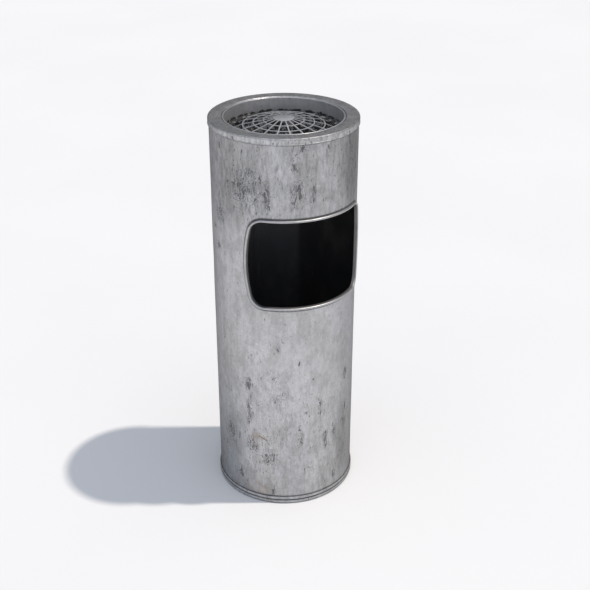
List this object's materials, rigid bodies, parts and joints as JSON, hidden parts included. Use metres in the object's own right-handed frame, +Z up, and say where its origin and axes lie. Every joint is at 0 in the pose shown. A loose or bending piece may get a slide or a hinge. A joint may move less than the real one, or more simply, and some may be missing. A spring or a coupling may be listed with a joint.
{
  "type": "ashtray bin",
  "caption": "Freestanding cylindrical metal litter bin with a wide side opening, a lift-off top ring holding an ash bowl and a web grille, and a lift-out liner bucket with a wire bail.",
  "frame": {"origin": "centre of the underside, on the floor", "axes": "+Z up along the tube's axis; the waste opening faces -Y"},
  "size_m": [0.2528, 0.2542, 0.7],
  "materials": {
    "weathered_steel": "weathered grey zinc-like coat with chips, flakes, streaks and faint rust",
    "trim_steel": "satin, slightly tarnished",
    "bowl_steel": "satin, sooty and stained",
    "black_paint": "semi-matt black, scuffed",
    "bright_steel": "plain zinc-bright",
    "rubber": "matt black, dusty",
    "grip_plastic": "moulded, fine grain"
  },
  "bodies": {
    "tube": {"body_shell": "weathered_steel", "aperture_trim": "trim_steel", "foot_ring": "weathered_steel", "floor_ring": "rubber", "base_plate": "black_paint"},
    "top": {"top_ring": "weathered_steel", "ring_clip_1": "bright_steel", "ring_clip_2": "bright_steel", "ring_clip_3": "bright_steel"},
    "bowl": {"ash_bowl": "bowl_steel"},
    "grille": {"grille": "bowl_steel"},
    "bucket": {"inner_liner": "black_paint", "liner_base": "black_paint", "liner_ear_left": "black_paint", "liner_ear_right": "black_paint", "ear_rivet_left_1": "bright_steel", "ear_rivet_left_2": "bright_steel", "ear_rivet_right_1": "bright_steel", "ear_rivet_right_2": "bright_steel"},
    "bail": {"liner_handle": "black_paint", "handle_grip": "grip_plastic"}
  },
  "joints": [
    {"name": "top_lift", "type": "slide", "parent": "tube", "child": "top", "axis": [0, 0, 1], "range_m": [0, 0.15]},
    {"name": "bowl_lift", "type": "slide", "parent": "top", "child": "bowl", "axis": [0, 0, 1], "range_m": [0, 0.12]},
    {"name": "grille_lift", "type": "slide", "parent": "bowl", "child": "grille", "axis": [0, 0, 1], "range_m": [0, 0.06]},
    {"name": "liner_lift", "type": "slide", "parent": "tube", "child": "bucket", "axis": [0, 0, 1], "range_m": [0, 0.24]},
    {"name": "handle_swing", "type": "hinge", "parent": "bucket", "child": "bail", "pos_m": [0, 0, 0.254], "axis": [-1, 0, 0], "range_deg": [0, 212]}
  ]
}
